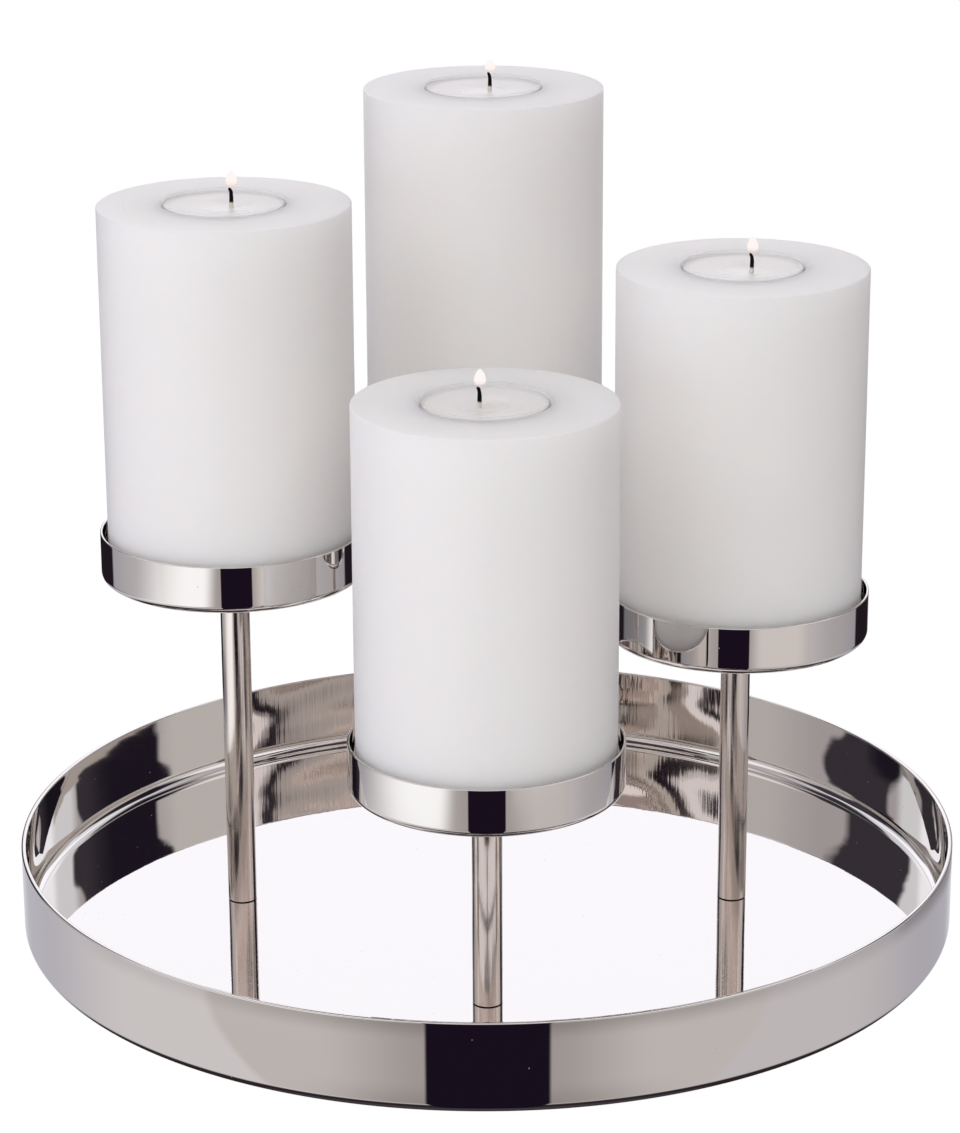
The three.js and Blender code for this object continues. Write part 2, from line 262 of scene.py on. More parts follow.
class Value:
    """What a socket gives. Adding, subtracting, multiplying and dividing make Math nodes."""

    def __init__(self, socket):
        self.socket = socket

    def __add__(self, other):
        return calculate("ADD", self, other)

    def __sub__(self, other):
        return calculate("SUBTRACT", self, other)

    def __rsub__(self, other):
        return calculate("SUBTRACT", other, self)

    def __mul__(self, other):
        return calculate("MULTIPLY", self, other)

    def __truediv__(self, other):
        return calculate("DIVIDE", self, other)

    def __abs__(self):
        return calculate("ABSOLUTE", self)


def tree_of(*values):
    """The tree that the first linked value is in."""
    return next(value.socket.id_data for value in values if isinstance(value, Value))


def outputs_of(node):
    return {socket.name: Value(socket) for socket in node.outputs}


def feed(value, socket):
    """Links a value to a socket, or sets a plain number, name or opaque colour."""
    if isinstance(value, Value):
        socket.id_data.links.new(value.socket, socket)
    else:
        socket.default_value = (*value, 1.0) if socket.type == "RGBA" else value


def feed_inputs(node, **values):
    """Feeds a node's inputs by name, with underscores for spaces."""
    for name, value in values.items():
        feed(value, node.inputs[name.replace("_", " ")])


def add_node(tree, kind, settings=None, **values):
    """Adds a node, sets its properties, then feeds its inputs."""
    made = tree.nodes.new(kind)
    for name, setting in (settings or {}).items():
        setattr(made, name, setting)
    feed_inputs(made, **values)
    return made


def from_node(tree, kind, settings=None, output=0, **values):
    """What a new node gives."""
    return Value(add_node(tree, kind, settings, **values).outputs[output])


def work_out(kind, operation, values, output=0):
    made = add_node(tree_of(*values), kind, {"operation": operation})
    for value, socket in zip(values, made.inputs):
        feed(value, socket)
    return Value(made.outputs[output])


def calculate(operation, *values):
    """A Math node's result."""
    return work_out("ShaderNodeMath", operation, values)


def combine(operation, *values):
    """A Vector Math node's result."""
    output = "Value" if operation in ("LENGTH", "DOT_PRODUCT") else "Vector"
    return work_out("ShaderNodeVectorMath", operation, values, output)


def parts(vector):
    return outputs_of(add_node(tree_of(vector), "ShaderNodeSeparateXYZ", Vector=vector))


def distance_off_axis(place):
    return combine("LENGTH", combine("MULTIPLY", place, (1.0, 1.0, 0.0)))


def ranged(value, low, high, start=0.0, end=1.0, smooth=False):
    """Low at the start, high at the end, and in proportion or smoothly between them."""
    return from_node(
        tree_of(value, low, high), "ShaderNodeMapRange",
        {"interpolation_type": "SMOOTHSTEP" if smooth else "LINEAR"},
        Value=value, From_Min=start, From_Max=end, To_Min=low, To_Max=high,
    )


def fade(value, start, end):
    """0 up to the start and 1 from the end on, smooth between them; the end may be the lower."""
    return ranged(value, 0.0, 1.0, start, end, smooth=True)


def mix_tone(share, below, above):
    """A colour that goes from one tone to another with the share.

    Inputs 6 and 7 and output 2 are the Mix node's colours.
    """
    made = add_node(tree_of(share), "ShaderNodeMix", {"data_type": "RGBA"})
    for value, socket in ((share, 0), (below, 6), (above, 7)):
        feed(value, made.inputs[socket])
    return Value(made.outputs[2])


def noise(dimensions, output=0, **values):
    """Noise of one, three or four dimensions."""
    settings = {"noise_dimensions": dimensions}
    tree = tree_of(*values.values())
    return from_node(tree, "ShaderNodeTexNoise", settings, output, **values)


def new_tree(name, kind, inputs, outputs):
    """A node group: the tree, what it is given by name, and the sockets at its end."""
    tree = bpy.data.node_groups.new(name, kind)
    for in_out, sockets in (("INPUT", inputs), ("OUTPUT", outputs)):
        for label, holds in sockets.items():
            tree.interface.new_socket(label, in_out=in_out, socket_type="NodeSocket" + holds)
    entry = outputs_of(tree.nodes.new("NodeGroupInput"))
    return tree, entry, tree.nodes.new("NodeGroupOutput").inputs


# Geometry Nodes trees.

def follow(geometry, kind, settings=None, output=0, **values):
    """What a geometry node gives that follows on from another."""
    return from_node(
        tree_of(geometry), "GeometryNode" + kind, settings, output, Geometry=geometry, **values,
    )


def finish_geometry(geometry, place, material, leave):
    """Ends a tree: own place stored, moved to its place, sharp edges marked, material set."""
    tree = tree_of(geometry)
    stored = follow(
        geometry, "StoreNamedAttribute", {"data_type": "FLOAT_VECTOR", "domain": "POINT"},
        Name="own_place", Value=from_node(tree, "GeometryNodeInputPosition"),
    )
    moved = follow(stored, "SetPosition", Offset=place)
    normal = from_node(tree, "GeometryNodeInputNormal")
    upright = abs(combine("DOT_PRODUCT", normal, (0.0, 0.0, 1.0)))
    turned = calculate("LESS_THAN", upright, FLAT_FACE)
    smooth = follow(moved, "SetShadeSmooth", {"domain": "FACE"}, Shade_Smooth=turned)
    edge_angle = from_node(tree, "GeometryNodeInputMeshEdgeAngle")
    sharp = calculate("GREATER_THAN", edge_angle, SHARP_EDGE)
    creased = follow(
        smooth, "SetShadeSmooth", {"domain": "EDGE"}, Selection=sharp, Shade_Smooth=False,
    )
    whole = follow(creased, "RealizeInstances")
    feed(follow(whole, "SetMaterial", Material=material), leave[0])


def turned_piece_tree():
    """Revolves an outline of points (radius, 0, height) about the piece's own axis.

    The outline's points are taken in order. A closed outline makes a ring, and an open one
    starts and ends on the axis.
    """
    tree, entry, leave = new_tree("Turned piece", "GeometryNodeTree", {
        "Outline": "Geometry", "Sides": "Int", "Closed": "Int", "Place": "Vector",
        "Piece Number": "Float", "Unevenness": "Float", "Uneven Scale": "Float",
        "Material": "Material",
    }, {"Piece": "Geometry"})
    points = follow(entry["Outline"], "AttributeDomainSize", output="Point Count")
    columns = points + entry["Closed"]
    rows = entry["Sides"] + 1.0
    grid = from_node(tree, "GeometryNodeMeshGrid", Vertices_X=columns, Vertices_Y=rows)
    index = from_node(tree, "GeometryNodeInputIndex")
    column = calculate("FLOOR", (index + 0.5) / rows)
    row = index - column * rows
    position = from_node(tree, "GeometryNodeInputPosition")
    corner = parts(follow(
        entry["Outline"], "SampleIndex", {"data_type": "FLOAT_VECTOR", "domain": "POINT"},
        Value=position, Index=calculate("MODULO", column, points),
    ))
    angle = calculate("MODULO", row, entry["Sides"]) * math.tau / entry["Sides"]
    spot = from_node(
        tree, "ShaderNodeCombineXYZ", X=corner["X"] * calculate("COSINE", angle),
        Y=corner["X"] * calculate("SINE", angle), Z=corner["Z"],
    )
    turned = follow(grid, "SetPosition", Position=spot)
    merged = follow(turned, "MergeByDistance", Distance=MERGE_DISTANCE)
    cloud = noise(
        "4D", Vector=position, W=entry["Piece Number"], Scale=entry["Uneven Scale"], Detail=2.0,
    )
    swell = (cloud - 0.5) * entry["Unevenness"]
    normal = from_node(tree, "GeometryNodeInputNormal")
    uneven = follow(merged, "SetPosition", Offset=combine("MULTIPLY", normal, swell))
    numbered = follow(
        uneven, "StoreNamedAttribute", {"data_type": "FLOAT", "domain": "POINT"},
        Name="piece_number", Value=entry["Piece Number"],
    )
    finish_geometry(numbered, entry["Place"], entry["Material"], leave)
    return tree


def drilled_piece_tree():
    """Cuts holes of a given number of sides, set evenly on a pitch circle, through a piece."""
    tree, entry, leave = new_tree("Drilled piece", "GeometryNodeTree", {
        "Piece": "Geometry", "Holes": "Int", "Pitch Radius": "Float", "Hole Radius": "Float",
        "Hole Sides": "Int", "Hole Length": "Float", "Middle": "Vector", "Material": "Material",
    }, {"Piece": "Geometry"})
    circle = from_node(
        tree, "GeometryNodeMeshCircle", Vertices=entry["Holes"], Radius=entry["Pitch Radius"],
    )
    placed = follow(circle, "SetPosition", Offset=entry["Middle"])
    drill = from_node(
        tree, "GeometryNodeMeshCylinder", Vertices=entry["Hole Sides"],
        Radius=entry["Hole Radius"], Depth=entry["Hole Length"],
    )
    drills = from_node(tree, "GeometryNodeInstanceOnPoints", Points=placed, Instance=drill)
    cut = from_node(
        tree, "GeometryNodeMeshBoolean", {"operation": "DIFFERENCE"},
        Mesh_1=entry["Piece"], Mesh_2=follow(drills, "RealizeInstances"),
    )
    finish_geometry(cut, (0.0, 0.0, 0.0), entry["Material"], leave)
    return tree


def wick_tree():
    """Sweeps a wick up out of the wax: a soaked collar, a burnt part, and a tip that curls."""
    tree, entry, leave = new_tree("Swept wick", "GeometryNodeTree", {
        "Seed Point": "Geometry", "Start Height": "Float", "Tip Height": "Float",
        "Bow": "Float", "Curl": "Float", "Collar Radius": "Float", "Burnt Radius": "Float",
        "Tip Radius": "Float", "Collar Share": "Float", "Place": "Vector",
        "Piece Number": "Float", "Material": "Material",
    }, {"Wick": "Geometry"})
    low = entry["Start Height"]
    high = entry["Tip Height"]
    shoulder = ranged(WICK_SHOULDER, low, high)
    ends = ((0.0, low), (0.0, shoulder), (entry["Bow"], high), (entry["Curl"] * -1.0, high))
    start, rising, turning, tip = (
        from_node(tree, "ShaderNodeCombineXYZ", X=aside, Z=height) for aside, height in ends
    )
    path = from_node(
        tree, "GeometryNodeCurvePrimitiveBezierSegment", Resolution=WICK_STEPS, Start=start,
        Start_Handle=rising, End_Handle=turning, End=tip,
    )
    share = from_node(tree, "GeometryNodeSplineParameter", output="Factor")
    burnt = ranged(
        share, entry["Collar Radius"], entry["Burnt Radius"],
        entry["Collar Share"] * WICK_COLLAR_FULL, entry["Collar Share"], smooth=True,
    )
    radius = ranged(share, burnt, entry["Tip Radius"], WICK_TAPER_START, 1.0)
    circle = from_node(tree, "GeometryNodeCurvePrimitiveCircle", Resolution=WICK_SIDES, Radius=1.0)
    swept = from_node(
        tree, "GeometryNodeCurveToMesh", Curve=path, Profile_Curve=circle, Scale=radius,
        Fill_Caps=True,
    )
    position = from_node(tree, "GeometryNodeInputPosition")
    shaken = noise(
        "4D", "Color", Vector=position, W=entry["Piece Number"], Scale=WICK_FRAY_SCALE, Detail=2.0,
    )
    shaken = combine("MULTIPLY", combine("SUBTRACT", shaken, (0.5, 0.5, 0.5)), WICK_FRAY)
    frayed = follow(swept, "SetPosition", Offset=shaken)
    finish_geometry(frayed, entry["Place"], entry["Material"], leave)
    return tree


def bake_piece(name, outline, steps):
    """Turns an outline and its trees into one plain mesh whose faces point outwards.

    Each tree's inputs are set by their sockets' identifiers before it is first evaluated.
    """
    source = bpy.data.meshes.new(name)
    edges = [(i, i + 1) for i in range(len(outline) - 1)]
    source.from_pydata([(radius, 0.0, height) for radius, height in outline], edges, [])
    maker = add_object(name + "_maker", source)
    for tree, values in steps:
        modifier = maker.modifiers.new(tree.name, "NODES")
        modifier.node_group = tree
        sockets = (item for item in tree.interface.items_tree if item.in_out == "INPUT")
        identifiers = {socket.name: socket.identifier for socket in sockets}
        for label, value in values.items():
            modifier[identifiers[label]] = value
    graph = bpy.context.evaluated_depsgraph_get()
    mesh = bpy.data.meshes.new_from_object(
        maker.evaluated_get(graph), preserve_all_data_layers=True, depsgraph=graph,
    )
    bpy.data.objects.remove(maker)
    bpy.data.meshes.remove(source)
    mesh.name = name
    shape = bmesh.new()
    shape.from_mesh(mesh)
    if shape.calc_volume(signed=True) < 0:
        bmesh.ops.reverse_faces(shape, faces=shape.faces)
    shape.to_mesh(mesh)
    shape.free()
    return add_object(name, mesh)


# Outlines of the turned pieces, as (radius, height, rounding) corners.

def rounded(corners, closed=False):
    """An outline's points with its corners rounded.

    A guard point stands close beside each end of a round, so that smooth shading leaves the
    straight parts straight.
    """
    count = len(corners)
    points = []
    for i, (radius, height, rounding) in enumerate(corners):
        corner = Vector((radius, height))
        ends = not closed and i in (0, count - 1)
        if ends or rounding == 0:
            points.append(corner)
            continue
        before = Vector(corners[i - 1][:2]) - corner
        after = Vector(corners[(i + 1) % count][:2]) - corner
        inward = before.normalized()
        outward = after.normalized()
        turn = math.pi - inward.angle(outward)
        reach = rounding * math.tan(turn / 2)
        middle = corner + (inward + outward).normalized() * (rounding / math.cos(turn / 2))
        first = corner + inward * reach
        last = corner + outward * reach
        guard = min(GUARD, 2 * rounding)
        points.append(first + inward * min(guard, 0.2 * (before.length - reach)))
        steps = max(3, math.ceil(turn / ARC_STEP))
        start = first - middle
        finish = last - middle
        for step in range(steps + 1):
            share = step / steps
            blend = (
                start * math.sin((1 - share) * turn) + finish * math.sin(share * turn)
            ) / math.sin(turn)
            points.append(middle + blend)
        points.append(last + outward * min(guard, 0.2 * (after.length - reach)))
    return [(point.x, point.y) for point in points]


def tray_outline(radius, bottom, top, floor_underside):
    floor_top = floor_underside + TRAY_SHEET
    standing_inner = radius - TRAY_CORNER_RADIUS - TRAY_STANDING_WIDTH
    inner = radius - TRAY_SHEET
    return rounded([
        (0.0, floor_underside, 0), (TRAY_FLOOR_RING, floor_underside, 0),
        (standing_inner - TRAY_FLOOR_LIFT, floor_underside, TRAY_PRESS_RADIUS),
        (standing_inner, bottom, TRAY_PRESS_RADIUS),
        (radius, bottom, TRAY_CORNER_RADIUS), (radius, top, TRAY_RIM_RADIUS),
        (inner, top, TRAY_RIM_RADIUS), (inner, floor_top, TRAY_FILLET_RADIUS),
        (TRAY_FLOOR_RING, floor_top, 0), (0.0, floor_top, 0),
    ])


def stem_outline(radius, length):
    bore = radius - STEM_WALL
    corners = [
        (bore, 0.0, STEM_END_RADIUS), (radius, 0.0, STEM_END_RADIUS),
        (radius, length, STEM_END_RADIUS), (bore, length, STEM_END_RADIUS),
    ]
    return rounded(corners, closed=True)


def cup_outline(radius, height):
    inner = radius - CUP_WALL
    depth = DIMPLE_RADIUS - DIMPLE_HOLE
    drop = CUP_SHEET * math.sqrt(2)
    return rounded([
        (DIMPLE_HOLE, CUP_SHEET - depth, 0),
        (DIMPLE_HOLE, CUP_SHEET - depth - drop, 0),
        (DIMPLE_RADIUS + drop - CUP_SHEET, 0.0, CONE_ROUND),
        (radius, 0.0, CUP_CORNER_RADIUS),
        (radius, height, CUP_RIM_RADIUS), (inner, height, CUP_RIM_RADIUS),
        (inner, CUP_SHEET, CUP_CORNER_RADIUS - CUP_SHEET),
        (DIMPLE_RADIUS, CUP_SHEET, CONE_ROUND),
    ], closed=True)


def cup_screw_outline(head_radius, length):
    return rounded([
        (0.0, -length, 0), (CUP_SCREW_SHANK, -length, SCREW_EDGE_RADIUS),
        (CUP_SCREW_SHANK, CUP_SCREW_SHANK - head_radius, 0),
        (head_radius, 0.0, SCREW_RIM_RADIUS), (0.0, 0.0, 0),
    ])


def base_screw_outline(head_radius, length):
    return rounded([
        (0.0, -BASE_SCREW_HEAD_HEIGHT, 0),
        (head_radius, -BASE_SCREW_HEAD_HEIGHT, BASE_SCREW_HEAD_RADIUS),
        (head_radius, 0.0, SCREW_EDGE_RADIUS), (BASE_SCREW_SHANK, 0.0, 0),
        (BASE_SCREW_SHANK, length, SCREW_EDGE_RADIUS), (0.0, length, 0),
    ])


def pad_outline(radius, thickness):
    return rounded([
        (0.0, 0.0, 0), (radius, 0.0, PAD_EDGE_RADIUS),
        (radius, thickness, PAD_EDGE_RADIUS), (0.0, thickness, 0),
    ])


def pillar_outline(radius, height):
    """The side is divided up its height, so that its slight unevenness shows."""
    foot = [(0.0, 0.0, 0), (radius, 0.0, PILLAR_FOOT_RADIUS)]
    side = [(radius, height * row / PILLAR_ROWS, 0) for row in range(1, PILLAR_ROWS)]
    top = [
        (radius, height, PILLAR_SHOULDER_RADIUS), (0.5 * (radius + RECESS_RADIUS), height, 0),
        (RECESS_RADIUS, height, RECESS_EDGE_RADIUS),
        (RECESS_RADIUS, height - RECESS_DEPTH, RECESS_EDGE_RADIUS),
        (0.0, height - RECESS_DEPTH, 0),
    ]
    return rounded(foot + side + top)


def tealight_cup_outline(radius, height):
    outer = radius - TEALIGHT_BEAD
    inner = outer - TEALIGHT_WALL
    bead_bottom = height - TEALIGHT_BEAD_HEIGHT
    return rounded([
        (0.0, 0.0, 0), (outer, 0.0, TEALIGHT_WALL),
        (outer, bead_bottom - TEALIGHT_BEAD, TEALIGHT_BEAD_ROUND),
        (radius, bead_bottom, TEALIGHT_BEAD_ROUND),
        (radius, height, TEALIGHT_RIM_OUTSIDE), (inner, height, TEALIGHT_RIM_INSIDE),
        (inner, TEALIGHT_WALL, TEALIGHT_FLOOR_ROUND), (0.0, TEALIGHT_WALL, 0),
    ])


def tealight_wax_outline(outer, bottom, top):
    """Flat set wax that creeps up the wall, with a shallow melt pool in the middle."""
    creep = [(outer - inward, top + share * MENISCUS) for inward, share in WAX_CREEP]
    edge = []
    for row in range(POOL_ROWS + 1):
        share = row / POOL_ROWS
        ease = share * share * (3 - 2 * share)
        edge.append((POOL_RADIUS + POOL_EDGE_WIDTH * (0.5 - share), top - POOL_DEPTH * ease))
    below = [
        (0.0, top - POOL_DEPTH), (0.0, bottom + NECK_POCKET_HEIGHT),
        (NECK_POCKET_RADIUS, bottom + NECK_POCKET_HEIGHT),
        (NECK_POCKET_RADIUS, bottom + CLIP_POCKET_HEIGHT),
        (CLIP_POCKET_RADIUS, bottom + CLIP_POCKET_HEIGHT),
        (CLIP_POCKET_RADIUS, bottom),
    ]
    return creep + edge + below + [(outer, bottom)]


def flame_outline(height, radius):
    """A slim drop: round at the foot, widest at two fifths of its height, bluntly pointed."""
    points = [(0.0, 0.0)]
    for row in range(1, FLAME_ROWS):
        share = row / FLAME_ROWS
        wide = math.sin(math.pi * share ** FLAME_LOW_WAIST) ** FLAME_BLUNTNESS
        points.append((wide * radius, share * height))
    return points + [(0.0, height)]


# Shader node groups.

OWN_PLACE = {"Place": "Vector", "Piece Number": "Float"}


def handling_marks_group():
    """Soft smudges left by hands and cloths: a mask from 0 to 1."""
    tree, entry, leave = new_tree(
        "Handling marks", "ShaderNodeTree", {**OWN_PLACE, "Scale": "Float"}, {"Mask": "Float"},
    )
    cloud = noise(
        "4D", Vector=entry["Place"], W=entry["Piece Number"], Scale=entry["Scale"],
        Detail=4.0, Roughness=0.55, Distortion=0.6,
    )
    feed(fade(cloud, 0.45, 0.75), leave["Mask"])
    return tree


def stretched_noise_group():
    """Noise drawn out along each axis by its own scale: waviness, brushing, streaks."""
    tree, entry, leave = new_tree(
        "Stretched noise", "ShaderNodeTree",
        {**OWN_PLACE, "Scales": "Vector", "Detail": "Float"}, {"Height": "Float"},
    )
    height = noise(
        "4D", Vector=combine("MULTIPLY", entry["Place"], entry["Scales"]),
        W=entry["Piece Number"], Scale=1.0, Detail=entry["Detail"], Roughness=0.55,
    )
    feed(height, leave["Height"])
    return tree


def turning_rings_group():
    """Faint rings about the piece's own axis, as a turned or spun face has."""
    tree, entry, leave = new_tree(
        "Turning rings", "ShaderNodeTree", {**OWN_PLACE, "Rings per Metre": "Float"},
        {"Height": "Float"},
    )
    spread = distance_off_axis(entry["Place"]) * entry["Rings per Metre"]
    shifted = spread + entry["Piece Number"] * RING_SHIFT
    feed(noise("1D", W=shifted, Scale=1.0, Detail=3.0, Roughness=0.6), leave["Height"])
    return tree


def cloudy_colour_group():
    """A base colour that drifts softly between two tones."""
    tree, entry, leave = new_tree(
        "Cloudy colour", "ShaderNodeTree",
        {**OWN_PLACE, "Scale": "Float", "Light Tone": "Color", "Deep Tone": "Color"},
        {"Color": "Color", "Cloud": "Float"},
    )
    cloud = noise(
        "4D", Vector=entry["Place"], W=entry["Piece Number"], Scale=entry["Scale"],
        Detail=3.0, Roughness=0.5,
    )
    feed(mix_tone(cloud, entry["Light Tone"], entry["Deep Tone"]), leave["Color"])
    feed(cloud, leave["Cloud"])
    return tree


def wall_dents_group():
    """Dents in the back of the tray's inner wall, in millimetres, with upright streaks."""
    tree, entry, leave = new_tree(
        "Wall dents", "ShaderNodeTree", {"Place": "Vector"}, {"Height": "Float"},
    )
    place = entry["Place"]
    radius = distance_off_axis(place)
    inside = fade(radius, DENTS_END + 0.0014, DENTS_END + 0.0008)
    wall = fade(radius, DENTS_START, DENTS_END) * inside
    back = fade(parts(place)["Y"], *DENTED_BACK)
    broad = noise(
        "4D", W=DENT_SEED, Scale=1.0, Detail=0.0, Vector=combine("MULTIPLY", place, DENT_SCALES),
    )
    streaks = noise(
        "3D", Scale=1.0, Detail=2.0, Vector=combine("MULTIPLY", place, STREAK_SCALES),
    )
    deep = ranged(broad, -0.5, 0.5) * (back * DEEP_DENT)
    scored = streaks * ranged(back, 0.0, STREAK_DEPTH)
    feed((deep + scored) * wall, leave["Height"])
    return tree


def specks_group():
    """Sparse round specks: a mask that is 1 on a speck."""
    tree, entry, leave = new_tree(
        "Specks", "ShaderNodeTree", {"Place": "Vector", "Spacing": "Float", "Size": "Float"},
        {"Mask": "Float"},
    )
    scale = calculate("DIVIDE", 1.0, entry["Spacing"])
    cells = outputs_of(
        add_node(tree, "ShaderNodeTexVoronoi", Vector=entry["Place"], Scale=scale),
    )
    reach = cells["Distance"] * entry["Spacing"]
    size = fade(parts(cells["Color"])["X"], SPECK_CHANCE, 1.0) * entry["Size"]
    feed(calculate("LESS_THAN", reach, size), leave["Mask"])
    return tree


HANDLING_MARKS = handling_marks_group()
STRETCHED_NOISE = stretched_noise_group()
TURNING_RINGS = turning_rings_group()
CLOUDY_COLOUR = cloudy_colour_group()
WALL_DENTS = wall_dents_group()
SPECKS = specks_group()


# Materials.

def new_material(name):
    """A material and its shader."""
    material = bpy.data.materials.new(name)
    material.use_nodes = True
    return material, material.node_tree.nodes["Principled BSDF"]


def use_group(group, **values):
    """What a group gives, by name."""
    settings = {"node_tree": group}
    tree = tree_of(*values.values())
    return outputs_of(add_node(tree, "ShaderNodeGroup", settings, **values))


def own_place(shader):
    """A turned piece's place about its own axis, and its number."""
    attributes = (("Place", "own_place", "Vector"), ("Piece_Number", "piece_number", "Fac"))
    return {
        label: from_node(
            shader.id_data, "ShaderNodeAttribute", {"attribute_name": name}, output,
        )
        for label, name, output in attributes
    }


def dressed(name, dress, *details):
    """A material for turned pieces, dressed by a function that gets their own place."""
    material, shader = new_material(name)
    dress(shader, own_place(shader), *details)
    return material


def object_place(tree):
    """Place in the frame, for the pieces that come straight from it."""
    return from_node(tree, "ShaderNodeTexCoord", output="Object")


def grained(at, scales, detail):
    """The height of stretched noise."""
    return use_group(STRETCHED_NOISE, **at, Scales=scales, Detail=detail)["Height"]


def rings_of(at, rings_per_metre):
    return use_group(TURNING_RINGS, **at, Rings_per_Metre=rings_per_metre)["Height"]


def marks_of(at, scale):
    return use_group(HANDLING_MARKS, **at, Scale=scale)["Mask"]


def bump(height, strength, distance, normal=None):
    made = add_node(
        tree_of(height), "ShaderNodeBump", Height=height, Strength=strength, Distance=distance,
    )
    if normal is not None:
        feed(normal, made.inputs["Normal"])
    return Value(made.outputs[0])


def polished_nickel(shader, at):
    """Mirror finish: slight waves, hairline rings, faint smudges, and specks of dust."""
    waves = grained(at, (42.0, 42.0, 9.0), 1.5)
    dents = use_group(WALL_DENTS, Place=at["Place"])["Height"]
    specks = use_group(SPECKS, Place=at["Place"], Spacing=0.004, Size=0.00022)["Mask"]
    polish = ranged(marks_of(at, 26.0), 0.012, 0.03)
    dented = bump(dents, 1.0, 0.001, bump(waves, 0.03, 0.001))
    feed_inputs(
        shader, Base_Color=(0.80, 0.775, 0.755), Metallic=1.0,
        Roughness=ranged(specks, polish, 0.5),
        Normal=bump(rings_of(at, 700.0), 0.005, 0.0002, dented),
    )


def satin_nickel(shader, at):
    """Tube brushed along its length."""
    lines = grained(at, (2600.0, 2600.0, 60.0), 3.0)
    feed_inputs(
        shader, Base_Color=mix_tone(lines, (0.70, 0.64, 0.60), (0.88, 0.82, 0.78)),
        Metallic=1.0, Roughness=ranged(marks_of(at, 60.0), 0.11, 0.17),
        Normal=bump(lines, 0.15, 0.0001),
    )


def small_metal(name, scales, tone_scale, light_tone, deep_tone, roughness, depth):
    """The metal of the small pieces: fine grain and a colour that drifts a little."""
    material, shader = new_material(name)
    place = object_place(shader.id_data)
    grain = grained({"Place": place}, scales, 3.0)
    colour = use_group(
        CLOUDY_COLOUR, Place=place, Scale=tone_scale, Light_Tone=light_tone, Deep_Tone=deep_tone,
    )["Color"]
    feed_inputs(
        shader, Base_Color=colour, Metallic=1.0, Roughness=ranged(grain, *roughness),
        Normal=bump(grain, depth, 0.00005),
    )
    return material


def felt(shader, at):
    """Pressed wool: crossing fibres over a mottled grey."""
    other = {"Place": at["Place"], "Piece_Number": at["Piece_Number"] + 5.0}
    fibres = grained(at, (900.0, 2600.0, 1800.0), 6.0)
    nap = fibres + grained(other, (2600.0, 900.0, 1800.0), 6.0)
    colour = use_group(
        CLOUDY_COLOUR, **at, Scale=1600.0,
        Light_Tone=(0.085, 0.085, 0.09), Deep_Tone=(0.035, 0.035, 0.038),
    )["Color"]
    feed_inputs(
        shader, Base_Color=colour, Roughness=ranged(nap, 0.85, 1.0, 0.6, 1.4),
        Sheen_Weight=0.3, Normal=bump(nap, 0.9, 0.0003),
    )


def pillar_wax(shader, at):
    """White paraffin: light passes a little way in, tone drifts, the top has turning rings."""
    colour = use_group(
        CLOUDY_COLOUR, **at, Scale=30.0,
        Light_Tone=(0.94, 0.925, 0.905), Deep_Tone=(0.915, 0.90, 0.88),
    )
    fine = bump(grained(at, (260.0, 260.0, 90.0), 3.0), 0.1, 0.0002)
    feed_inputs(
        shader, Base_Color=colour["Color"], Roughness=ranged(colour["Cloud"], 0.38, 0.5),
        Subsurface_Weight=0.9, Subsurface_Radius=(1.0, 0.92, 0.85), Subsurface_Scale=0.016,
        IOR=1.44, Normal=bump(rings_of(at, 900.0), 0.3, 0.0003, fine),
    )


def tealight_wax(shader, at):
    """Softer, glossier wax, wet in the melt pool round the wick."""
    colour = use_group(
        CLOUDY_COLOUR, **at, Scale=90.0,
        Light_Tone=(0.92, 0.905, 0.88), Deep_Tone=(0.88, 0.865, 0.845),
    )["Color"]
    off_wick = distance_off_axis(at["Place"])
    feed_inputs(
        shader, Base_Color=colour,
        Roughness=ranged(off_wick, 0.1, 0.35, 0.0, 1.5 * POOL_RADIUS, smooth=True),
        Subsurface_Weight=0.6, Subsurface_Radius=(1.0, 0.95, 0.9), Subsurface_Scale=0.006,
        IOR=1.44, Normal=bump(grained(at, (500.0, 500.0, 200.0), 2.0), 0.12, 0.0002),
    )


def clear_plastic(shader, at):
    """Thin clear cup: hardly there face on, a pale line where it is seen edge on."""
    marks = marks_of(at, 120.0)
    edge = from_node(shader.id_data, "ShaderNodeLayerWeight", output="Facing", Blend=0.35)
    feed_inputs(
        shader, Base_Color=(0.93, 0.92, 0.92), IOR=1.5,
        Roughness=ranged(marks, 0.08, 0.2), Alpha=ranged(edge, 0.03, 0.36),
    )


def wick_cotton(shader, at, collar_top):
    """Pale and soaked at the foot, charred above it."""
    strands = grained(at, (4200.0, 4200.0, 1500.0), 3.0)
    ragged = parts(at["Place"])["Z"] + strands * 0.0006
    charred = fade(ragged, collar_top - 0.0001, collar_top + 0.0006)
    feed_inputs(
        shader, Base_Color=mix_tone(charred, (0.70, 0.70, 0.60), (0.004, 0.003, 0.003)),
        Roughness=ranged(charred, 0.3, 0.9), Specular_IOR_Level=0.12,
        Normal=bump(strands, 0.8, 0.0002),
    )


def flame_light(shader, at, foot, height):
    """Bright flame: peach and clear at its foot, white above, with soft edges."""
    tree = shader.id_data
    share = ranged(parts(at["Place"])["Z"], 0.0, 1.0, foot, foot + height)
    tone = add_node(tree, "ShaderNodeValToRGB", Fac=share)
    stops = tone.color_ramp.elements
    stops[0].color = (0.80, 0.52, 0.44, 1.0)
    stops[1].position = 0.45
    stops[1].color = (0.985, 0.925, 0.90, 1.0)
    stops.new(0.2).color = (0.95, 0.78, 0.73, 1.0)
    edge = from_node(tree, "ShaderNodeLayerWeight", output="Facing", Blend=0.5)
    feed_inputs(
        shader, Base_Color=(0.0, 0.0, 0.0), Specular_IOR_Level=0.0,
        Emission_Color=Value(tone.outputs[0]), Emission_Strength=1.0,
        Alpha=fade(share, 0.0, 0.3) * fade(edge, 0.95, 0.3),
    )


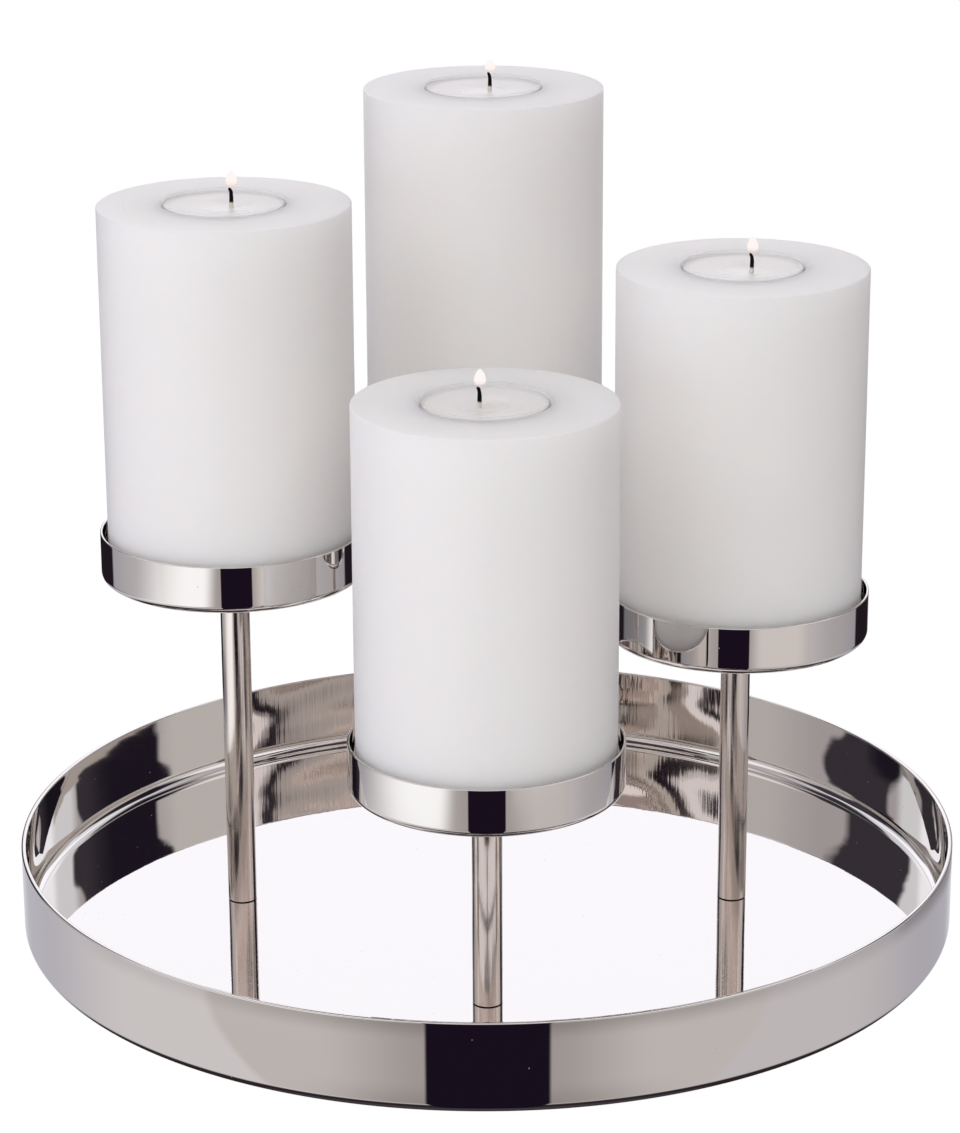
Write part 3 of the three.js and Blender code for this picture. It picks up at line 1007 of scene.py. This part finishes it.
def mix_shaders(share, below, above):
    """A shader that goes from one to another with the share."""
    made = add_node(tree_of(share), "ShaderNodeMixShader")
    for value, socket in zip((share, below, above), made.inputs):
        feed(value, socket)
    return Value(made.outputs[0])


def stage_floor():
    """Pale floor: nearly all white to the camera, with a share of its real light for shadows."""
    material, shader = new_material("stage_floor")
    tree = shader.id_data
    feed_inputs(shader, Base_Color=(0.9, 0.9, 0.9), Roughness=0.8)
    glow = from_node(tree, "ShaderNodeEmission", Color=(1.0, 1.0, 1.0), Strength=1.03)
    share = from_node(tree, "ShaderNodeLightPath", output="Is Camera Ray") * FLOOR_WHITE_SHARE
    blend = mix_shaders(share, Value(shader.outputs[0]), glow)
    feed(blend, tree.nodes["Material Output"].inputs["Surface"])
    return material


# Making and dressing the pieces.

TURNED = turned_piece_tree()
DRILLED = drilled_piece_tree()
SWEPT_WICK = wick_tree()

MATERIALS = {
    dress.__name__: dressed(dress.__name__, dress)
    for dress in (polished_nickel, satin_nickel, felt, pillar_wax, tealight_wax, clear_plastic)
}
MATERIALS["plated_steel"] = small_metal(
    "plated_steel", (1500.0, 1500.0, 1500.0), 300.0,
    (0.62, 0.62, 0.61), (0.48, 0.48, 0.48), (0.22, 0.4), 0.1,
)
MATERIALS["brass"] = small_metal(
    "brass", (300.0, 300.0, 2500.0), 250.0,
    (0.78, 0.58, 0.27), (0.60, 0.42, 0.18), (0.25, 0.45), 0.2,
)


def fit(piece, body, node):
    """Makes a piece ride on its body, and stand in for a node."""
    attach(piece, body)
    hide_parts(node)


def turn_piece(name, outline, sides, place, material, number, closed=False, unevenness=0.0,
               drill=None):
    """One turned piece at its place, drilled if asked."""
    steps = [(TURNED, {
        "Sides": sides, "Closed": int(closed), "Place": place, "Piece Number": float(number),
        "Unevenness": unevenness, "Uneven Scale": WAX_UNEVEN_SCALE, "Material": material,
    })]
    if drill is not None:
        steps.append((DRILLED, {**drill, "Material": material}))
    return bake_piece(name, outline, steps)


def fit_turned(name, body, node, slot, outline, sides, place, number, **options):
    """A turned piece that stands in for a node of its body."""
    piece = turn_piece(name, outline, sides, place, MATERIALS[slot], number, **options)
    fit(piece, body, node)
    return piece


def measure(node):
    """A round node's axis, radius, and lowest and highest level."""
    low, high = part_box(node)
    middle = (low + high) / 2
    return (middle.x, middle.y), (high.x - low.x) / 2, low.z, high.z


def stand_in(name, body, node, slot, outline, sides, number, **options):
    """A turned piece of its node's radius and height. Returns its bottom's place and radius."""
    axis, radius, bottom, top = measure(node)
    spot = (*axis, bottom)
    piece = fit_turned(
        name, body, node, slot, outline(radius, top - bottom), sides, spot, number, **options,
    )
    return piece, spot, radius


def socket_drill(radius, depth, place):
    """What cuts a hexagon socket into a screw's end."""
    return {
        "Holes": 1, "Pitch Radius": 0.0, "Hole Radius": radius, "Hole Sides": 6,
        "Hole Length": 2 * depth, "Middle": place,
    }


def build_tray():
    _, radius, bottom, top = measure("tray")
    floor_underside = bottom + TRAY_FLOOR_LIFT
    stem_axis = measure("stem_right")[0]
    fit_turned(
        "tray_shell", "stand", "tray", "polished_nickel",
        tray_outline(radius, bottom, top, floor_underside), TRAY_SIDES, (0.0, 0.0, 0.0), 1,
        drill={
            "Holes": len(PLACES), "Pitch Radius": stem_axis[0], "Hole Radius": SCREW_HOLE_RADIUS,
            "Hole Sides": SCREW_HOLE_SIDES, "Hole Length": 6 * TRAY_SHEET,
            "Middle": (0.0, 0.0, floor_underside),
        },
    )


def build_pads():
    for number, place in enumerate(PAD_PLACES):
        stand_in(
            "pad_" + place, "stand", "felt_pad_" + place, "felt", pad_outline, SMALL_SIDES,
            2 + number,
        )


def build_holder(place, number):
    """Stem, cup and screws of one holder."""
    stand_in(
        "stem_tube_" + place, "stand", "stem_" + place, "satin_nickel", stem_outline,
        STEM_SIDES, 10 + number, closed=True,
    )

    axis, head, screw_bottom, screw_top = measure("cup_screw_" + place)
    _, radius, _, rim = measure("cup_" + place)
    underside = screw_top - CUP_SHEET
    fit_turned(
        "cup_dish_" + place, "stand", "cup_" + place, "polished_nickel",
        cup_outline(radius, rim - underside), CUP_SIDES, (*axis, underside), 20 + number,
        closed=True,
    )
    spot = (*axis, screw_top)
    fit_turned(
        "cup_fastener_" + place, "stand", "cup_screw_" + place, "plated_steel",
        cup_screw_outline(head, screw_top - screw_bottom), SMALL_SIDES, spot, 30 + number,
        drill=socket_drill(CUP_SCREW_SOCKET, CUP_SCREW_SOCKET_DEPTH, spot),
    )

    _, head, bottom, top = measure("base_screw_" + place)
    head_top = bottom + BASE_SCREW_HEAD_HEIGHT
    fit_turned(
        "base_fastener_" + place, "stand", "base_screw_" + place, "plated_steel",
        base_screw_outline(head, top - head_top), SMALL_SIDES, (*axis, head_top), 40 + number,
        drill=socket_drill(BASE_SCREW_SOCKET, BASE_SCREW_SOCKET_DEPTH, (*axis, bottom)),
    )

    for node in ("stem_insert_bottom_" + place, "stem_insert_top_" + place):
        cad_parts[node].material_slots[0].material = MATERIALS["brass"]


def build_candle(place, number):
    stand_in(
        "pillar_" + place, "candle_" + place, "pillar_candle_" + place, "pillar_wax",
        pillar_outline, PILLAR_SIDES, 50 + number, unevenness=WAX_UNEVENNESS,
    )


def build_tealight(place, number):
    """Clear cup, wax, wick and flame. Heights are above the cup's underside."""
    body = "tealight_" + place
    shell, spot, radius = stand_in(
        "tealight_shell_" + place, body, "tealight_cup_" + place, "clear_plastic",
        tealight_cup_outline, TEALIGHT_SIDES, 60 + number,
    )
    shell.visible_shadow = False
    bottom = spot[2]

    wax_bottom, wax_top = measure("tealight_wax_" + place)[2:]
    wax_top -= TEALIGHT_WAX_SINK
    wax_radius = radius - TEALIGHT_BEAD - TEALIGHT_WALL - TEALIGHT_FIT_GAP
    fit_turned(
        "tealight_fill_" + place, body, "tealight_wax_" + place, "tealight_wax",
        tealight_wax_outline(wax_radius, wax_bottom - bottom, wax_top - bottom),
        TEALIGHT_SIDES, spot, 70 + number, closed=True,
    )
    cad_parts["wick_clip_" + place].material_slots[0].material = MATERIALS["plated_steel"]

    collar_top = wax_top - bottom - POOL_DEPTH + WICK_COLLAR_HEIGHT
    wick_low, wick_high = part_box("wick_" + place)
    tip = wick_high.z - bottom - WICK_BURNT_AWAY - WICK_TIP_RADIUS
    start = wick_low.z - bottom
    aside, behind = WICK_SHIFTS[place]
    wick_axis = (spot[0] + aside, spot[1] + behind, bottom)
    wick = bake_piece("wick_burnt_" + place, [(0.0, 0.0)], [(SWEPT_WICK, {
        "Start Height": start, "Tip Height": tip, "Bow": WICK_BOW, "Curl": WICK_CURL,
        "Collar Radius": WICK_COLLAR_RADIUS, "Burnt Radius": WICK_RADIUS,
        "Tip Radius": WICK_TIP_RADIUS, "Collar Share": (collar_top - start) / (tip - start),
        "Place": wick_axis, "Piece Number": float(80 + number),
        "Material": dressed("wick", wick_cotton, collar_top),
    })])
    fit(wick, body, "wick_" + place)

    height = FLAME_HEIGHTS[place]
    foot = tip + FLAME_LIFT
    flame = turn_piece(
        "flame_" + place,
        [(radius, foot + level) for radius, level in flame_outline(height, FLAME_RADIUS)],
        SMALL_SIDES, (wick_axis[0] + FLAME_SHIFT, *wick_axis[1:]),
        dressed("flame_light", flame_light, foot, height), 90 + number,
    )
    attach(flame, body)


# Stage, lamps, world and camera.

def build_floor():
    half = FLOOR_SIZE / 2
    corners = ((-half, -half), (half, -half), (half, half), (-half, half))
    mesh = bpy.data.meshes.new("floor")
    mesh.from_pydata([(*corner, -FLOOR_DROP) for corner in corners], [], [(0, 1, 2, 3)])
    mesh.materials.append(stage_floor())
    floor = add_object("floor", mesh, "glossy")


def layered(cloth, *layers):
    """Lays tones over a cloth, each with its strength and the edges that it fades in at."""
    for tone, mask, *edges in layers:
        for value, start, end in edges:
            mask = fade(value, start, end) * mask
        cloth = mix_tone(mask, cloth, tone)
    return cloth


def low_cloth(angle, off_front, depth):
    """The tent below the table's level: what the outsides of the tray, cups and stems show."""
    right = fade(angle, -5, 5)
    far = mix_tone(right, TENT_FAR_LEFT, TENT_FAR_RIGHT)
    outer = layered(
        mix_tone(right, TENT_OUTER_LEFT, TENT_OUTER_RIGHT),
        (far, 1.0, (off_front, 84, 128)), (TENT_BACK_LOW, 1.0, (off_front, 142, 156)),
    )
    drop = calculate("MAXIMUM", depth - ARC_TOP, 0.0)
    past_arc = off_front + drop * drop * ARC_BEND
    under = depth - FOLD_TOP - off_front * off_front * FOLD_BEND
    fold = ranged(fade(off_front, 45, 75), 0.32, 0.18) * fade(angle, -112, -90)
    fold = ranged(fade(angle, 104, 114), fold, 0.4)
    along = abs(angle + (depth * 205.0 + 13.0))
    return layered(
        TENT_FRONT,
        (TENT_FLANK, 1.0, (off_front, 12, 38)),
        (outer, 1.0, (past_arc, ARC_ANGLE - 2, ARC_ANGLE + 2)),
        # The flanks are dimmer higher up, where only the cups see them.
        (TENT_DARK, 0.28, (depth, 0.255, 0.21), (off_front, 50, 90)),
        # A fold, dim along the line that the top of the tray's wall mirrors, and its hem.
        (TENT_DARK, fold, (under, -0.02, -0.01), (under, 0.01, -0.001)),
        (TENT_DARK, 0.2, (under, 0.03, 0.043), (off_front, 48, 18)),
        # Window light on the left, and a little on the right.
        (TENT_WINDOW, 1.0, (along, 62, 6), (depth, 0.275, 0.18), (angle + depth * 80.0, -7, -21)),
        (TENT_RIGHT_LIGHT, 1.0, (angle, 11, 25), (angle, 65, 51), (depth, 0.19, 0.14)),
        # White cloth behind on the left, and the dark openings.
        (TENT_WHITE, 1.0, (angle, -126, -132), (depth, 0.16, 0.13)),
        (TENT_GAP, 1.0, (angle, -169.5, -166.5), (angle, -117.5, -120.5), (depth, 0.16, 0.15)),
        (TENT_GAP, 1.0, (angle, 115.5, 118.5), (angle, 155.5, 152.5), (depth, 0.25, 0.23)),
        (TENT_GAP, 0.55, (depth, 0.146, 0.154), (depth, 0.19, 0.182), (angle, -80, -90)),
        (TENT_GAP, 1.0, (depth, 0.146, 0.154), (depth, 0.19, 0.182), (angle, -119, -123)),
        (TENT_DARK, 1.0, (depth, 0.4, 0.6)),
    )


def bent_line(height, start, bends):
    """A line up the tent: its angle at the foot, and how far it shifts between two heights."""
    line = start
    for low, high, shift in bends:
        line = fade(height, low, high) * shift + line
    return line


def opening(around, height, near_line, far_line, softness):
    """The edges of an opening: two bent lines and its top."""
    return (
        (around - bent_line(height, *near_line), -softness, softness),
        (around - bent_line(height, *far_line), softness, -softness),
        (height, 0.85, 0.75),
    )


def back_wall_cloth(angle, off_front, height):
    """What the tray's uneven back wall shows, by the wall's own level above its floor: brown at
    its foot, pale slanting bands and a dark strip under the rim, drawn out in streaks."""
    level = abs(height - (WALL_FOOT - off_front * WALL_FOOT_SLOPE))
    for scale, detail, reach in ((0.11, 2.0, 0.004), (1.6, 3.0, 0.003)):
        streaks = noise("1D", W=angle, Scale=scale, Detail=detail)
        level = level + ranged(streaks, -reach, reach)
    ridge = calculate("MAXIMUM", 0.0, angle - 53.0) * 0.0025 + 0.008
    left_pale = fade(abs(level - ridge), 0.009, 0.002)
    pale = ranged(fade(angle, -5, 5), fade(level, 0.006, 0.02), left_pale)
    return layered(
        BACK_WALL_BROWN,
        (BACK_WALL_BEIGE, 1.0, (level, 0.016, 0.032)),
        (BACK_WALL_PALE, ranged(fade(off_front, 60, 66), pale, 1.0)),
        (BACK_WALL_DARK, 1.0, (level, 0.033, 0.039)),
        (TENT_FRONT_HIGH, 1.0, (level, 0.045, 0.06)),
    )


def high_cloth(angle, off_front, height, place):
    """The tent above the table's level: what the tray's floor, wall and fillet show."""
    ruffle = noise("3D", Scale=14.0, Detail=0.0, Vector=place)
    angle = angle + ranged(ruffle, -2.0, 2.0)
    other = angle * -1.0
    deep = fade(other, 125, 133) * fade(height, 0.316, 0.306)
    rise = calculate("MAXIMUM", 0.0, angle - 144.0) * 0.0008
    above = height - (ranged(angle, 0.2988, 0.3035, 106.0, 144.0) + rise)
    left_wall = mix_tone(fade(angle, 96, 108), TENT_LEFT_HIGH, TENT_SIDE_HIGH)
    opening_one = mix_tone(fade(angle, 124, 140), TENT_OPENING_DARK, TENT_OPENING_PALE)
    opening_two = mix_tone(deep, TENT_OPENING_PALE, TENT_OPENING_DARK)
    return layered(
        mix_tone(fade(angle, -84, -108), TENT_RIGHT_HIGH, TENT_SIDE_HIGH),
        (left_wall, 1.0, (angle, -5, 5)),
        (back_wall_cloth(angle, off_front, height), 1.0, (off_front, 76, 70)),
        (TENT_BACK_SIDE, 1.0, (off_front, 141, 147)),
        (TENT_BACK, 1.0, (off_front, 156, 162)),
        # Tall openings at the sides, with a bright sill on the right and a dim one on the left.
        (opening_one, 1.0, *opening(angle, height, OPENING_ONE_NEAR, OPENING_ONE_FAR, 1.3)),
        (opening_two, 1.0, *opening(other, height, OPENING_TWO_NEAR, OPENING_TWO_FAR, 2.0)),
        (TENT_SILL, 1.0, (above, 0.0006, -0.0006), (angle, 102, 106), (angle, 160, 156)),
        (TENT_SILL_DIM, 1.0, (height, 0.3, 0.2985), (other, 142, 146), (other, 160, 156)),
        (TENT_FRONT_TOP, 1.0, (height, 0.4, 0.46), (off_front, 110, 95)),
    )


def tent_light():
    """Reflector tent: grey cloth walls, an open slit in front, dark openings at the sides,
    white cloth behind. Angles are degrees round from the front, positive to the right."""
    material = bpy.data.materials.new("tent_light")
    material.use_nodes = True
    tree = material.node_tree
    tree.nodes.clear()
    whole_place = object_place(tree)
    place = parts(whole_place)
    height = place["Z"]
    angle = calculate("DEGREES", calculate("ARCTAN2", place["X"], place["Y"] * -1.0))
    off_front = abs(angle)
    high = high_cloth(angle, off_front, height, whole_place)
    cloth = layered(
        low_cloth(angle, off_front, height * -1.0),
        (high, 1.0, (height, -0.01, 0.01)),
        (TENT_SLIT, 1.0, (off_front, 13.7, 12.8), (height, 0.05, 0.0)),
    )
    glow = from_node(tree, "ShaderNodeEmission", Color=cloth, Strength=1.0)
    feed(glow, tree.nodes.new("ShaderNodeOutputMaterial").inputs["Surface"])
    return material


def build_tent():
    """A round wall that neither the camera nor the lamps' light meets."""
    shape = bmesh.new()
    bmesh.ops.create_cone(
        shape, cap_ends=False, segments=TENT_SIDES, radius1=TENT_RADIUS, radius2=TENT_RADIUS,
        depth=2 * TENT_HALF_HEIGHT,
    )
    mesh = bpy.data.meshes.new("tent")
    shape.to_mesh(mesh)
    shape.free()
    mesh.materials.append(tent_light())
    tent = add_object("tent", mesh, "camera", "diffuse", "transmission", "shadow")


def add_softbox(name, place, width, height, power, colour):
    """A soft lamp that points at the middle of the part and that the metal doesn't mirror."""
    lamp = bpy.data.lights.new(name, "AREA")
    lamp.color = colour
    lamp.shape = "RECTANGLE"
    lamp.size = width
    lamp.size_y = height
    lamp.energy = power
    softbox = add_object(name, lamp, "glossy")
    softbox.location = place
    softbox.rotation_euler = (LAMP_AIM - Vector(place)).to_track_quat("-Z", "Y").to_euler()


def build_world():
    """Even grey fill, white to the camera, and a dim ceiling that only the metal mirrors."""
    world = bpy.data.worlds.new("studio")
    world.use_nodes = True
    bpy.context.scene.world = world
    tree = world.node_tree
    room = tree.nodes["Background"]
    feed(ROOM_FILL, room.inputs["Color"])
    path = outputs_of(tree.nodes.new("ShaderNodeLightPath"))
    blend = Value(room.outputs[0])
    for ray, tone in (("Is Glossy Ray", ROOM_CEILING), ("Is Camera Ray", (1.0, 1.0, 1.0))):
        shown = from_node(tree, "ShaderNodeBackground", Color=tone, Strength=1.0)
        blend = mix_shaders(path[ray], blend, shown)
    feed(blend, tree.nodes["World Output"].inputs["Surface"])


def build_camera():
    """Turned by its roll, pitch and yaw out of looking along +Y."""
    turn = Matrix.Translation(CAMERA_PLACE)
    for degrees, axis in ((-CAMERA_YAW, "Z"), (90 + CAMERA_PITCH, "X"), (CAMERA_ROLL, "Z")):
        turn = turn @ Matrix.Rotation(math.radians(degrees), 4, axis)
    lens = bpy.data.cameras.new("camera")
    lens.sensor_width = SENSOR_WIDTH
    lens.lens = CAMERA_FOCAL_PIXELS * SENSOR_WIDTH / max(IMAGE_WIDTH, IMAGE_HEIGHT)
    lens.clip_start = 0.01
    lens.clip_end = 50.0
    camera = add_object("camera", lens)
    camera.matrix_world = turn
    bpy.context.scene.camera = camera


build_camera()
build_tray()
build_pads()
for holder_number, holder in enumerate(PLACES):
    build_holder(holder, holder_number)
    build_candle(holder, holder_number)
    build_tealight(holder, holder_number)
build_floor()
build_tent()
add_softbox("front", (0.25, -1.6, 1.5), 1.2, 1.0, 9.9, (1.0, 0.995, 0.83))
add_softbox("left", (-1.3, -0.6, 1.5), 1.2, 1.2, 9.2, (1.0, 1.0, 1.03))
add_softbox("fill", (-0.9, -1.6, 0.3), 1.0, 0.8, 4.6, (0.94, 0.94, 1.16))
add_softbox("back", (0.2, 1.5, 0.8), 1.2, 0.8, 6.0, (1.02, 0.97, 1.0))
build_world()
bpy.context.scene.view_settings.view_transform = "Standard"
